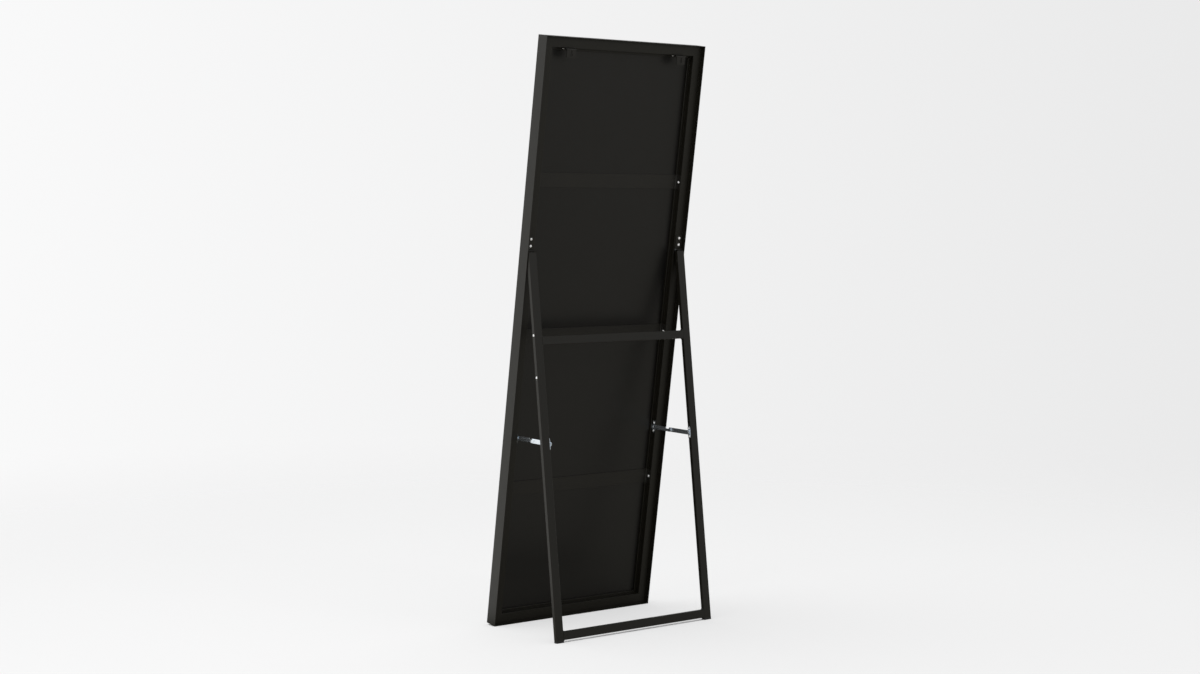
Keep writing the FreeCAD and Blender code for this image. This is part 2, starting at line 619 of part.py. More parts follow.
def both_nodes(name, make):
    """The right and left nodes of a piece."""
    right, left = both_sides(make)
    return {name + "_right": right, name + "_left": left}


def frame_pieces():
    """Everything that stays with the mirror."""
    pieces = both_nodes("rail", side_rail)
    pieces["rail_top"] = top_rail()
    pieces["rail_bottom"] = rail(FRAME_WIDTH)
    pieces["corner_keys"] = corner_keys()
    pieces["mirror_glass"] = sheet(LIP, GLASS)
    pieces["safety_film"] = sheet(LIP + GLASS, FILM)
    pieces["backing_board"] = sheet(LIP + GLASS + FILM, BOARD)
    for name, middle in BRACE_Z.items():
        pieces["brace_" + name] = brace(middle)
    pieces["brace_screws"] = fastened(pan_screw(SCREW_LENGTH), BRACE_SCREWS)
    pieces |= both_nodes("hanger", hanger)
    pieces["hanger_screws"] = fastened(pan_screw(SCREW_LENGTH), HANGER_SCREWS)
    pieces |= both_nodes("hinge_leaf", hinge_leaf)
    pieces |= both_nodes("hinge_pin", hinge_pin)
    pieces["hinge_screws"] = fastened(pan_screw(SCREW_LENGTH), HINGE_SCREWS)
    pieces |= both_nodes("stay_frame_plate", lambda: stay_plate(FRONT_PLATE_X, STAY_FRONT_Y, STAY_HEIGHT,
                                                                FRONT_STAY_SCREWS))
    plate_screw = sunk_screw(SCREW_LENGTH, STAY_PLATE, CROWNED_HEAD)
    pieces["stay_frame_screws"] = fastened(plate_screw, FRONT_STAY_SCREWS)
    rivet = stay_rivet(INNER_X, STAY_FRONT_SHOULDER, STAY_FRONT_Y, STAY_HEIGHT)
    pieces["stay_frame_rivets"] = Part.makeCompound(list(both_sides(lambda: rivet)))
    pieces |= both_nodes("stay_front_arm", lambda: front_arm_piece(front_arm()))
    pieces |= both_nodes("elbow_rivet", lambda: front_arm_piece(elbow_half(ELBOW_HEAD, True)))
    pieces |= both_nodes("stay_rear_arm", lambda: rear_arm_piece(rear_arm()))
    pieces |= both_nodes("elbow_tail", lambda: rear_arm_piece(elbow_half(ELBOW_TAIL_HEAD, False)))
    return pieces


def stand_pieces():
    """Everything that swings with the stand, folded."""
    pieces = both_nodes("leg", leg)
    pieces["crossbar_middle"] = crossbar(MIDDLE_BAR_DROP)
    pieces["crossbar_lower"] = crossbar(floor_drop(LEG_FRONT) - LOWER_BAR_CLEAR - BAR_HEIGHT / 2)
    pieces |= both_nodes("foot_cap", foot_cap)
    pieces |= both_nodes("hinge_plug", hinge_plug)
    pieces["plug_screws"] = fastened(pan_screw(PLUG_SCREW_LENGTH), [PLUG_SCREW])
    pieces["leg_side_screws"] = fastened(sunk_screw(SCREW_LENGTH, LEG_WALL, FLAT_HEAD), SIDE_SCREWS)
    pieces |= both_nodes("stay_leg_plate", lambda: stay_plate(REAR_PLATE_X, STAY_REAR_Y, REAR_STAY_Z,
                                                              REAR_STAY_SCREWS))
    plate_screw = sunk_screw(SCREW_LENGTH, STAY_PLATE, CROWNED_HEAD)
    pieces["stay_leg_screws"] = fastened(plate_screw, REAR_STAY_SCREWS)
    shoulder = REAR_PLATE_X - REAR_ARM_X - HEAD_GAP
    rivet = stay_rivet(LEG_IN, shoulder, STAY_REAR_Y, REAR_STAY_Z)
    pieces["stay_leg_rivets"] = Part.makeCompound(list(both_sides(lambda: rivet)))
    return pieces


def main():
    os.makedirs("parts", exist_ok=True)
    pieces = frame_pieces()
    for name, shape in stand_pieces().items():
        pieces[name] = opened(shape)
    for name, shape in pieces.items():
        standing(shape).exportStep("parts/" + name + ".step")
    report()


def report():
    """Prints the pivots and ratios that the moving pieces need, in the standing mirror's frame."""
    def stand_point(y, z):
        y, z = turned(y - DEPTH, z, -LEAN_R)
        return round(y - CENTRE_Y, 4), round(z, 4)

    folded_y = (STAY_REAR_Y - STAY_FRONT_Y) / 2
    folded_z = -math.sqrt(ARM_LENGTH ** 2 - folded_y ** 2)
    front_fold = FRONT_ARM_TURN - angle_from_down(folded_y, folded_z)
    rear_fold = angle_from_down(-folded_y, folded_z) - (REAR_ARM_TURN - OPEN_ANGLE)
    print("hinge axis y, z:", stand_point(AXIS_Y, HINGE_HEIGHT))
    print("front pivot y, z:", stand_point(STAY_FRONT_Y, STAY_HEIGHT))
    print("rear pivot y, z:", stand_point(REAR_OPEN_Y, REAR_OPEN_Z))
    print("elbow y, z:", stand_point(ELBOW_Y, ELBOW_Z), "arm length:", round(ARM_LENGTH, 3))
    print("front arm folds by", round(front_fold, 4), "rear arm by", round(rear_fold, 4), "degrees")
    print("ratios:", round(front_fold / OPEN_ANGLE, 6), round(rear_fold / OPEN_ANGLE, 6))
    entry = stand_point(DEPTH, HANGER_Z - KEYHOLE_DROP)
    print("keyhole entry y, z:", entry, "x:", HANGER_X)
    print("leg end, from the axis:", round(LEG_END, 3), "centre y:", round(CENTRE_Y, 3))


main()
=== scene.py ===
"""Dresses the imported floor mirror: its finishes, its screws and welds, and a pale studio round it.

Metres, in the part's own frame: +Z up, the mirror's face towards -Y, its folding stand towards +Y.
"""

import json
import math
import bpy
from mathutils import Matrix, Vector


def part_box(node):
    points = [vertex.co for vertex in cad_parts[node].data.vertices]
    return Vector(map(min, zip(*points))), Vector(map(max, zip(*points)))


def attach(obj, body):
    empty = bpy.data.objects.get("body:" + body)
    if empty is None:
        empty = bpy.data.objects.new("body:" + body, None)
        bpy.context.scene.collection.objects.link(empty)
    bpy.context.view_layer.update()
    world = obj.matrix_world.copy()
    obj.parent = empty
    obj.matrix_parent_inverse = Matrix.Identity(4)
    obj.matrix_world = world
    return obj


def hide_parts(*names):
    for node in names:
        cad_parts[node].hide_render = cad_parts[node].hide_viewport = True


bl_info = {
    "name": "Floor Mirror Dressing",
    "version": (1, 0, 0),
    "blender": (4, 5, 0),
    "location": "View3D > Sidebar > Floor Mirror",
    "description": "Finishes, screws and welds for a leaning floor mirror, with a pale studio",
    "category": "Object",
}

import bpy
from bpy.props import FloatProperty, FloatVectorProperty, IntProperty, PointerProperty
from mathutils import Matrix, Vector

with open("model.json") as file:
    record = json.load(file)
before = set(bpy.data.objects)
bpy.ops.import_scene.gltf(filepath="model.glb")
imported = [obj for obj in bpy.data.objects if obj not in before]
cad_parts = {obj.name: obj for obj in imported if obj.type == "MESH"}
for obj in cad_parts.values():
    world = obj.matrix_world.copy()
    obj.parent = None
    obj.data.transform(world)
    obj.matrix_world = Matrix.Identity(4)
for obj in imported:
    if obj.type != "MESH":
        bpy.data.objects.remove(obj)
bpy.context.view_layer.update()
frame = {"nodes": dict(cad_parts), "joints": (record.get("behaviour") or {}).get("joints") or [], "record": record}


def named(items, name):
    """The one of the frame's joints or mounts that has a name."""
    return next(item for item in items if item["name"] == name)


def both(*names):
    """Names of the nodes that come as a left and a right one."""
    return tuple(name + side for name in names for side in ("_left", "_right"))


# Directions of the leaning mirror and ends of the open legs, taken from the frame
HINGE = Vector(named(frame["joints"], "stand_fold")["pos_m"])
FOOT = Vector(named(frame["record"]["mounts"], "foot_right")["pos_m"])
ACROSS = Vector((1, 0, 0))
MIRROR_BACK = Vector(named(frame["record"]["mounts"], "keyhole_right")["axis"]).normalized()
MIRROR_UP = ACROSS.cross(MIRROR_BACK)

# Which nodes have which finish
RAILS = both("rail") + ("rail_top", "rail_bottom")
CROSSBARS = ("crossbar_middle", "crossbar_lower")
STEELWORK = both("leg", "hinge_plug", "hinge_leaf") + CROSSBARS
BACK_STRAPS = ("brace_upper", "brace_middle", "brace_lower") + both("hanger")
STAYS = both("stay_front_arm", "stay_rear_arm", "stay_frame_plate", "stay_leg_plate")
RIVETS = both("elbow_rivet", "elbow_tail", "hinge_pin") + ("stay_frame_rivets", "stay_leg_rivets")
FOOT_CAPS = both("foot_cap")

# Screws: node, the new piece, its body, the way its head faces, and the head's form.
# A sideways head faces the middle (-1) or away from it (1).
SCREWS = (
    ("brace_screws", "brace_screw_set", "frame", -1, "domed"),
    ("hanger_screws", "hanger_screw_set", "frame", -MIRROR_UP, "domed"),
    ("hinge_screws", "hinge_screw_set", "frame", MIRROR_BACK, "domed"),
    ("plug_screws", "plug_screw_set", "stand", -1, "domed"),
    ("stay_frame_screws", "stay_frame_screw_set", "frame", -1, "raised"),
    ("stay_leg_screws", "stay_leg_screw_set", "stand", -1, "raised"),
    ("leg_side_screws", "leg_side_screw_set", "stand", 1, "flush"),
)
SCREW_REACH = 0.014            # no two points of one screw are further apart
SCREW_TURN = 2.4               # from one screw's cross to the next one's, radians
SCREW_SIDES = 32
SCREW_CREASE = 30              # steeper edges stay sharp, degrees
CROWN_RINGS = 6                # rings of faces over a domed head
RECESS_TAPER = (0.55, 0.75, 1)     # length, width and depth at a recess's floor, of those at its mouth

# Weld beads
BEAD_REACH = 0.86              # length, of the bar's depth
BEAD_SIDES = 12
BEAD_RINGS = 4                 # rings of faces to a ripple
BEAD_RIPPLE = 0.12             # height of a ripple, of the bead's radius
BEAD_BLUNT = 8                 # power of the curve that rounds the ends
BEAD_CREASE = 60               # steeper edges stay sharp, degrees

# Turned pieces
SEED_SIZE = 0.001              # plane that is merged into a profile's first point
MERGE_GAP = 1e-6               # points closer than this become one


class MirrorFinishes(bpy.types.PropertyGroup):
    """Colours and gloss of the mirror's surfaces."""
    coat_colour: FloatVectorProperty(
        name="Coat", description="Powder coat of the frame and the stand", subtype="COLOR",
        default=(0.0054, 0.0046, 0.0022), min=0, max=1)
    # The same black coat as the frame and stand, painted a lighter tone on the straps and hangers
    strap_colour: FloatVectorProperty(
        name="Straps", description="Thinner coat of the straps and hangers", subtype="COLOR",
        default=(0.0081, 0.0073, 0.0056), min=0, max=1)
    coat_roughness: FloatProperty(
        name="Coat roughness", description="Satin gloss of the powder coat", subtype="FACTOR",
        default=0.42, min=0, max=1)
    peel_width: FloatProperty(
        name="Orange peel", description="Width of the fine bumps in the powder coat", unit="LENGTH",
        default=0.0011, min=0.0001)
    edge_radius: FloatProperty(
        name="Edge radius", description="Softness of the coated edges", unit="LENGTH",
        default=0.0007, min=0)
    board_colour: FloatVectorProperty(
        name="Board", description="Black laminate on the backing board", subtype="COLOR",
        default=(0.0028, 0.0025, 0.0022), min=0, max=1)
    zinc_colour: FloatVectorProperty(
        name="Zinc", description="Bright zinc plate of the stays", subtype="COLOR",
        default=(0.83, 0.895, 0.97), min=0, max=1)
    # Near-white; on the screws mostly matt, a painted highlight over their zinc
    screw_colour: FloatVectorProperty(
        name="Screws", description="Bright zinc plate of the screws", subtype="COLOR",
        default=(0.98, 0.98, 0.97), min=0, max=1)
    silver_colour: FloatVectorProperty(
        name="Silver", description="Silvering seen through the glass", subtype="COLOR",
        default=(0.87, 0.90, 0.89), min=0, max=1)
    cap_colour: FloatVectorProperty(
        name="Foot caps", description="Moulded plastic under the legs", subtype="COLOR",
        default=(0.010, 0.010, 0.010), min=0, max=1)


class MirrorFittings(bpy.types.PropertyGroup):
    """Sizes of the screws and the welds."""
    head_radius: FloatProperty(
        name="Screw head", description="Radius of a domed head", unit="LENGTH", default=0.0036)
    head_rim: FloatProperty(
        name="Head rim", description="Straight rim under the dome", unit="LENGTH", default=0.0006)
    head_height: FloatProperty(
        name="Head height", description="Seat to the top of the dome", unit="LENGTH", default=0.0020)
    sunk_radius: FloatProperty(
        name="Countersunk head", description="Radius of a flat head", unit="LENGTH", default=0.0034)
    sunk_depth: FloatProperty(
        name="Countersink", description="Depth of the cone", unit="LENGTH", default=0.0015)
    sunk_crown: FloatProperty(
        name="Crown", description="Rise of a raised countersunk head", unit="LENGTH", default=0.0015)
    shank_radius: FloatProperty(
        name="Shank", description="Radius of the shank", unit="LENGTH", default=0.0019)
    recess_span: FloatProperty(
        name="Recess span", description="Length of the cross in a head", unit="LENGTH", default=0.0040)
    recess_width: FloatProperty(
        name="Recess width", description="Width of the cross's wings", unit="LENGTH", default=0.0008)
    recess_depth: FloatProperty(
        name="Recess depth", description="Depth of the cross", unit="LENGTH", default=0.0012)
    bead_radius: FloatProperty(
        name="Weld bead", description="Radius of a weld bead", unit="LENGTH", default=0.0030)
    bead_ripples: IntProperty(
        name="Ripples", description="Ripples along a weld bead", default=7, min=1)


class MirrorStudio(bpy.types.PropertyGroup):
    """Camera, floor and light."""
    eye: FloatVectorProperty(
        name="Eye", description="Where the camera stands", subtype="TRANSLATION",
        default=(3.4215, 4.4235, 1.1415))
    aim: FloatVectorProperty(
        name="Aim", description="What the camera looks at", subtype="TRANSLATION",
        default=(-0.09649, -0.12534, 0.80142))
    lens: FloatProperty(
        name="Lens", description="Focal length on a 36 mm sensor", subtype="DISTANCE_CAMERA",
        default=59.59)
    backdrop: FloatVectorProperty(
        name="Backdrop", description="Pale ground behind the mirror", subtype="COLOR",
        default=(0.885, 0.885, 0.887), min=0, max=1)
    floor_colour: FloatVectorProperty(
        name="Floor", description="Floor as the camera sees it", subtype="COLOR",
        default=(0.86, 0.86, 0.86), min=0, max=1)
    floor_shade: FloatVectorProperty(
        name="Floor behind", description="Floor behind the mirror, as gloss shows it", subtype="COLOR",
        default=(0.316, 0.304, 0.268), min=0, max=1)
    floor_shine: FloatVectorProperty(
        name="Floor before", description="Floor before the mirror, as gloss shows it", subtype="COLOR",
        default=(0.92, 0.915, 0.88), min=0, max=1)
    # Painted light: a glow that partly fills the floor's shadows as the camera sees them
    floor_lift: FloatProperty(
        name="Floor lift", description="How far the floor's shadows are filled", subtype="FACTOR",
        default=0.60)
    sky_level: FloatProperty(
        name="Sky", description="Strength of the soft light from all round", default=0.88, min=0)
    key_power: FloatProperty(
        name="Key", description="Power of the large lamp overhead", unit="POWER", default=41.0, min=0)
    gleam_power: FloatProperty(
        name="Gleams", description="Power of each small lamp", unit="POWER", default=6.0, min=0)
    # Painted light: the backdrop is painted paler towards the left, as if lit more from that side
    slope: FloatProperty(
        name="Backdrop slope", description="How much paler the backdrop's left edge is", default=0.0735)


class Signal:
    """An output socket of a node; arithmetic on it adds Math nodes to its tree."""

    EDGE_SAMPLES = 4

    def __init__(self, tree, socket=None):
        self.tree = tree
        self.socket = socket

    def node(self, kind, settings, inputs, output=0):
        """Adds a node: first its settings, then the value or link of each socket; gives one output."""
        made = self.tree.nodes.new(kind)
        for name, value in settings.items():
            setattr(made, name, value)
        for key, value in inputs.items():
            if isinstance(value, Signal):
                self.tree.links.new(value.socket, made.inputs[key])
            else:
                made.inputs[key].default_value = value
        return Signal(self.tree, made.outputs[output] if made.outputs else None)

    def math(self, operation, first, second):
        """One step of arithmetic."""
        return self.node("ShaderNodeMath", {"operation": operation}, {0: first, 1: second})

    def __add__(self, other):
        return self.math("ADD", self, other)

    def __radd__(self, other):
        return self.math("ADD", other, self)

    def __sub__(self, other):
        return self.math("SUBTRACT", self, other)

    def __rsub__(self, other):
        return self.math("SUBTRACT", other, self)

    def __mul__(self, other):
        return self.math("MULTIPLY", self, other)

    def __rmul__(self, other):
        return self.math("MULTIPLY", other, self)

    def between(self, low, high, curve="SMOOTHSTEP"):
        """0 below low, 1 above high and rising between them."""
        return self.node("ShaderNodeMapRange", {"interpolation_type": curve},
                         {"Value": self, "From Min": low, "From Max": high})

    def mix(self, first, second):
        """One colour at 0 and another at 1."""
        return self.node("ShaderNodeMix", {"data_type": "RGBA"}, {0: self, 6: first, 7: second},
                         output=2)

    def blend(self, first, second):
        """One shader at 0 and another at 1."""
        return self.node("ShaderNodeMixShader", {}, {0: self, 1: first, 2: second})

    def dot(self, other):
        """How far two directions agree."""
        return self.node("ShaderNodeVectorMath", {"operation": "DOT_PRODUCT"}, {0: self, 1: other},
                         output="Value")

    def length(self):
        """Length of a vector."""
        return self.node("ShaderNodeVectorMath", {"operation": "LENGTH"}, {0: self}, output="Value")

    def scaled(self, factor):
        """A vector or colour times a number."""
        return self.node("ShaderNodeVectorMath", {"operation": "SCALE"}, {0: self, "Scale": factor})

    def part(self, axis):
        """One coordinate of a vector."""
        return self.node("ShaderNodeSeparateXYZ", {}, {0: self}, output=axis)

    def place(self, kind="Object"):
        """Coordinates of the point that is shaded."""
        return self.node("ShaderNodeTexCoord", {}, {}, output=kind)

    def face(self):
        """The surface's own normal."""
        return self.node("ShaderNodeNewGeometry", {}, {}, output="Normal")

    def ray(self, kind):
        """1 for rays of one kind and 0 for others."""
        return self.node("ShaderNodeLightPath", {}, {}, output="Is %s Ray" % kind)

    def noise(self, width, detail=2.0, stretch=(1, 1, 1)):
        """Cloudy pattern on the piece's own coordinates, with spots of about one width."""
        place = self.node("ShaderNodeMapping", {}, {"Vector": self.place(), "Scale": stretch})
        return self.node("ShaderNodeTexNoise", {},
                         {"Vector": place, "Scale": 1 / width, "Detail": detail})

    def edge_normal(self, radius):
        """Normals rounded over the edges."""
        return self.node("ShaderNodeBevel", {"samples": self.EDGE_SAMPLES}, {"Radius": radius})

    def bump(self, height, depth, normal):
        """Normals of a relief on the surface."""
        return self.node("ShaderNodeBump", {}, {"Height": height, "Distance": depth, "Strength": 1.0,
                                                "Normal": normal})

    def principled(self, **sockets):
        """The surface shader, with underscores for the spaces in its sockets' names."""
        spaced = {name.replace("_", " "): value for name, value in sockets.items()}
        return self.node("ShaderNodeBsdfPrincipled", {}, spaced)


def rgba(colour, level=1.0):
    """A colour, or a tone of it, for a socket."""
    return (*[level * channel for channel in colour], 1.0)


def tones(colour, levels):
    """Two tones of a colour."""
    return [rgba(colour, level) for level in levels]


def new_material(name):
    """An empty material, and a start for the nodes in it."""
    material = bpy.data.materials.new(name)
    material.use_nodes = True
    material.node_tree.nodes.clear()
    return material, Signal(material.node_tree)


def surfaced(material, shader):
    """Ends a material's nodes in its surface."""
    shader.node("ShaderNodeOutputMaterial", {}, {"Surface": shader})
    return material


# Powder coat
COAT = "satin_black_coat"
COAT_IOR = 1.45
COAT_CLOUD = 0.030             # width of its cloudy patches
COAT_EDGE = (0.80, 0.995)      # agreement of rounded and flat normals, on an edge and beside it
COAT_THINS = (0.5, 0.6)        # how far the clouds and the edges thin it
COAT_TONES = (0.86, 1.55)      # where it is thick and where it is thin
COAT_CLOUD_DULLS = 0.06
COAT_PEEL_SHINES = 0.05        # in the hollows of the peel
COAT_EDGE_SHINES = 0.06
COAT_RELIEF = 0.000035


def powder_coat(name, colour, finishes):
    """Satin black powder coat: fine orange peel, cloudy gloss and thinner colour on its edges."""
    material, start = new_material(name)
    rounded = start.edge_normal(finishes.edge_radius)
    edge = 1 - rounded.dot(start.face()).between(*COAT_EDGE)
    cloud = start.noise(COAT_CLOUD, detail=3.0)
    peel = start.noise(finishes.peel_width, detail=1.0)
    cloud_thins, edge_thins = COAT_THINS
    tint = (cloud * cloud_thins + edge * edge_thins).mix(*tones(colour, COAT_TONES))
    gloss = finishes.coat_roughness + cloud * COAT_CLOUD_DULLS
    gloss = gloss - (1 - peel) * COAT_PEEL_SHINES - edge * COAT_EDGE_SHINES
    normal = start.bump(peel, COAT_RELIEF, rounded)
    return surfaced(material, start.principled(Base_Color=tint, Roughness=gloss, Normal=normal,
                                               IOR=COAT_IOR))


# Laminate of the backing board
BOARD_IOR = 1.5
BOARD_ROUGHNESS = 0.28
BOARD_FIBRE = 0.004            # width of its fibres
BOARD_GRAIN = (1, 1, 0.12)     # they run up the board
BOARD_CLOUD = 0.060
BOARD_FIBRE_SHARE = 0.3        # of the change in tone; the clouds have the rest
BOARD_TONES = (0.8, 1.25)
BOARD_CLOUD_DULLS = 0.06
BOARD_FIBRE_DULLS = 0.04
BOARD_RELIEF = 0.000012


def laminate(name, finishes):
    """Smooth black laminate with faint long fibres showing through."""
    material, start = new_material(name)
    fibre = start.noise(BOARD_FIBRE, detail=4.0, stretch=BOARD_GRAIN)
    cloud = start.noise(BOARD_CLOUD, detail=3.0)
    pale = cloud * (1 - BOARD_FIBRE_SHARE) + fibre * BOARD_FIBRE_SHARE
    tint = pale.mix(*tones(finishes.board_colour, BOARD_TONES))
    gloss = BOARD_ROUGHNESS + cloud * BOARD_CLOUD_DULLS + fibre * BOARD_FIBRE_DULLS
    normal = start.bump(fibre, BOARD_RELIEF, start.face())
    return surfaced(material, start.principled(Base_Color=tint, Roughness=gloss, Normal=normal,
                                               IOR=BOARD_IOR))


# Zinc plate: the share of bright metal in it, where the rest is a pale matt haze (passivation on the stays;
# on the screws a near-white painted highlight), its roughness, and how its fine lines are stretched
DRAWN = {"metal": 0.93, "roughness": 0.05, "stretch": (1, 0.06, 1)}
TURNED = {"metal": 0.93, "roughness": 0.08, "stretch": (0.3, 1, 1)}
# Screws: mostly near-white matt, a painted highlight that stands in for the gleam of their bright zinc heads
SCREW_PAINTED_GLEAM = {"metal": 0.2, "roughness": 0.30, "stretch": (1, 1, 1)}
ZINC_EDGE = 0.6                # edge radius, of the coat's
ZINC_LINE = 0.0009             # width of its lines
ZINC_CLOUD = 0.008
ZINC_TONES = (0.9, 1.12)
ZINC_LINE_DULLS = 0.06
ZINC_CLOUD_DULLS = 0.03
ZINC_RELIEF = 0.000010


def zinc(name, colour, finishes, metal, roughness, stretch):
    """Bright zinc plate: fine lines in the metal, cloudy passivation and soft edges."""
    material, start = new_material(name)
    rounded = start.edge_normal(finishes.edge_radius * ZINC_EDGE)
    lines = start.noise(ZINC_LINE, detail=3.0, stretch=stretch)
    cloud = start.noise(ZINC_CLOUD, detail=2.0)
    tint = cloud.mix(*tones(colour, ZINC_TONES))
    gloss = roughness + lines * ZINC_LINE_DULLS + cloud * ZINC_CLOUD_DULLS
    normal = start.bump(lines, ZINC_RELIEF, rounded)
    return surfaced(material, start.principled(Base_Color=tint, Metallic=metal, Roughness=gloss,
                                               Normal=normal))


# Silvered glass
GLASS_ROUGHNESS = 0.006
HAZE_WIDTH = 0.090
HAZE_STREAK = (1, 1, 0.3)      # wiped up and down
HAZE_SPREAD = (0.45, 0.75)     # noise between which the haze sets in
HAZE_DULLS = 0.010


def silvering(name, finishes):
    """Silvered float glass, with the faintest haze left by wiping."""
    material, start = new_material(name)
    haze = start.noise(HAZE_WIDTH, detail=3.0, stretch=HAZE_STREAK).between(*HAZE_SPREAD)
    gloss = GLASS_ROUGHNESS + haze * HAZE_DULLS
    return surfaced(material, start.principled(Base_Color=rgba(finishes.silver_colour), Metallic=1.0,
                                               Roughness=gloss))


# Moulded plastic
CAP_GRAIN = 0.0008
FILM_GRAIN = 0.0020
KEY_GRAIN = 0.0010
PLASTIC_ROUGHNESS = 0.5
PLASTIC_TONES = (0.8, 1.3)
PLASTIC_GRAIN_DULLS = 0.12
PLASTIC_RELIEF = 0.00005


def moulded(name, colour, grain):
    """Matt moulded plastic with a fine spark grain."""
    material, start = new_material(name)
    spark = start.noise(grain, detail=2.0)
    tint = spark.mix(*tones(colour, PLASTIC_TONES))
    gloss = PLASTIC_ROUGHNESS + spark * PLASTIC_GRAIN_DULLS
    normal = start.bump(spark, PLASTIC_RELIEF, start.face())
    return surfaced(material, start.principled(Base_Color=tint, Roughness=gloss, Normal=normal))


def cover(piece, material):
    """Gives a piece its only finish."""
    piece.data.materials.clear()
    piece.data.materials.append(material)


def dress(nodes, material):
    """Gives CAD nodes a finish."""
    for name in nodes:
        cover(frame["nodes"][name], material)


def slot_colour(slot):
    """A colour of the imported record."""
    return next(m for m in frame["record"]["materials"] if m["slot"] == slot)["base_color"][:3]


def slot_of(node):
    """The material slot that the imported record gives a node."""
    return next(s for s in frame["record"]["subparts"] if s["node"] == node)["material_slot"]


def deselect():
    """Leaves edit mode and clears the selection, which the frame's import fills."""
    if bpy.context.mode != "OBJECT":
        bpy.ops.object.mode_set(mode="OBJECT")
    bpy.ops.object.select_all(action="DESELECT")


def take(piece):
    """Selects one piece alone."""
    deselect()
    piece.select_set(True)
    bpy.context.view_layer.objects.active = piece


def edit(piece):
    """Selects one piece and opens it for editing."""
    take(piece)
    bpy.ops.object.mode_set(mode="EDIT")


def pick(piece, wanted):
    """Selects the vertices of the edited piece whose places are wanted."""
    bpy.ops.mesh.select_all(action="DESELECT")
    bpy.ops.object.mode_set(mode="OBJECT")
    for vertex in piece.data.vertices:
        vertex.select = wanted(vertex.co)
    bpy.ops.object.mode_set(mode="EDIT")


def smooth(piece, crease):
    """Shades a piece smooth, apart from edges that are steeper than the crease."""
    take(piece)
    bpy.ops.object.shade_smooth_by_angle(angle=math.radians(crease))


def lathe(name, profile, sides):
    """Turned piece about Z from an open line of (radius, height) that starts and ends on the axis."""
    deselect()
    bpy.ops.mesh.primitive_plane_add(size=SEED_SIZE)
    piece = bpy.context.active_object
    piece.name = name
    bpy.ops.object.mode_set(mode="EDIT")
    bpy.ops.mesh.select_mode(type="VERT")
    bpy.ops.mesh.merge(type="CENTER")
    at = Vector((profile[0][0], 0, profile[0][1]))
    bpy.ops.transform.translate(value=at)
    for radius, height in profile[1:]:
        step = Vector((radius, 0, height)) - at
        bpy.ops.mesh.extrude_region_move(TRANSFORM_OT_translate={"value": step})
        at += step
    bpy.ops.mesh.select_all(action="SELECT")
    bpy.ops.mesh.spin(steps=sides, angle=2 * math.pi, center=(0, 0, 0), axis=(0, 0, 1))
    bpy.ops.mesh.select_all(action="SELECT")
    bpy.ops.mesh.remove_doubles(threshold=MERGE_GAP)
    bpy.ops.mesh.normals_make_consistent(inside=False)
    bpy.ops.object.mode_set(mode="OBJECT")
    return piece


def recess_wing(span, width, depth):
    """One wing of the cross that is cut into a head whose top is at Z = 0, narrower at its floor."""
    deselect()
    bpy.ops.mesh.primitive_cube_add(size=1, location=(0, 0, 0), scale=(span, width, 2 * depth))
    wing = bpy.context.active_object
    bpy.ops.object.transform_apply(location=True, rotation=True, scale=True)
    edit(wing)
    pick(wing, lambda co: co.z < 0)
    bpy.ops.transform.resize(value=RECESS_TAPER, center_override=(0, 0, -depth))
    bpy.ops.object.mode_set(mode="OBJECT")
    return wing


def cut(piece, tool):
    """Cuts a tool out of a piece and removes the tool."""
    take(piece)
    taken = piece.modifiers.new("Cut", "BOOLEAN")
    taken.operation = "DIFFERENCE"
    taken.object = tool
    bpy.ops.object.modifier_apply(modifier=taken.name)
    bpy.data.objects.remove(tool)


def cross_recess(piece, sizes):
    """Cuts the cross for a screwdriver into a head."""
    for quarter in (0, 1):
        wing = recess_wing(sizes.recess_span, sizes.recess_width, sizes.recess_depth)
        wing.rotation_euler.z = quarter * math.pi / 2
        take(wing)
        bpy.ops.object.transform_apply(location=False, rotation=True, scale=False)
        cut(piece, wing)


def crown_line(radius, rise):
    """Line of (radius, height) over a domed top, from its middle at Z = 0 to its edge."""
    sphere = (radius ** 2 + rise ** 2) / (2 * rise)
    half = math.asin(radius / sphere)
    turns = [half * k / CROWN_RINGS for k in range(CROWN_RINGS + 1)]
    return [(sphere * math.sin(turn), sphere * (math.cos(turn) - 1)) for turn in turns]


def head_line(form, sizes):
    """Line of (radius, height) from the top of a head at Z = 0 to its shank."""
    shank, sunk = sizes.shank_radius, sizes.sunk_radius
    if form == "domed":
        top = crown_line(sizes.head_radius, sizes.head_height - sizes.head_rim)
        return top + [(sizes.head_radius, -sizes.head_height), (shank, -sizes.head_height)]
    if form == "raised":
        return crown_line(sunk, sizes.sunk_crown) + [(shank, -sizes.sunk_crown - sizes.sunk_depth)]
    return [(0, 0), (sunk, 0), (shank, -sizes.sunk_depth)]


def crossed_screw(length, form, sizes):
    """Screw along Z with a cross in its head, its top at Z = 0 and its end pointed."""
    shank = sizes.shank_radius
    line = head_line(form, sizes) + [(shank, shank - length), (0, -length)]
    screw = lathe("crossed_screw", line, SCREW_SIDES)
    cross_recess(screw, sizes)
    smooth(screw, SCREW_CREASE)
    return screw


def separate_solids(node, reach):
    """Points of a CAD node, one list for each solid, for solids further apart than their reach."""
    solids = []
    for vertex in frame["nodes"][node].data.vertices:
        home = next((s for s in solids if (s[0] - vertex.co).length < reach), None)
        if home is None:
            solids.append([vertex.co.copy()])
        else:
            home.append(vertex.co.copy())
    return solids


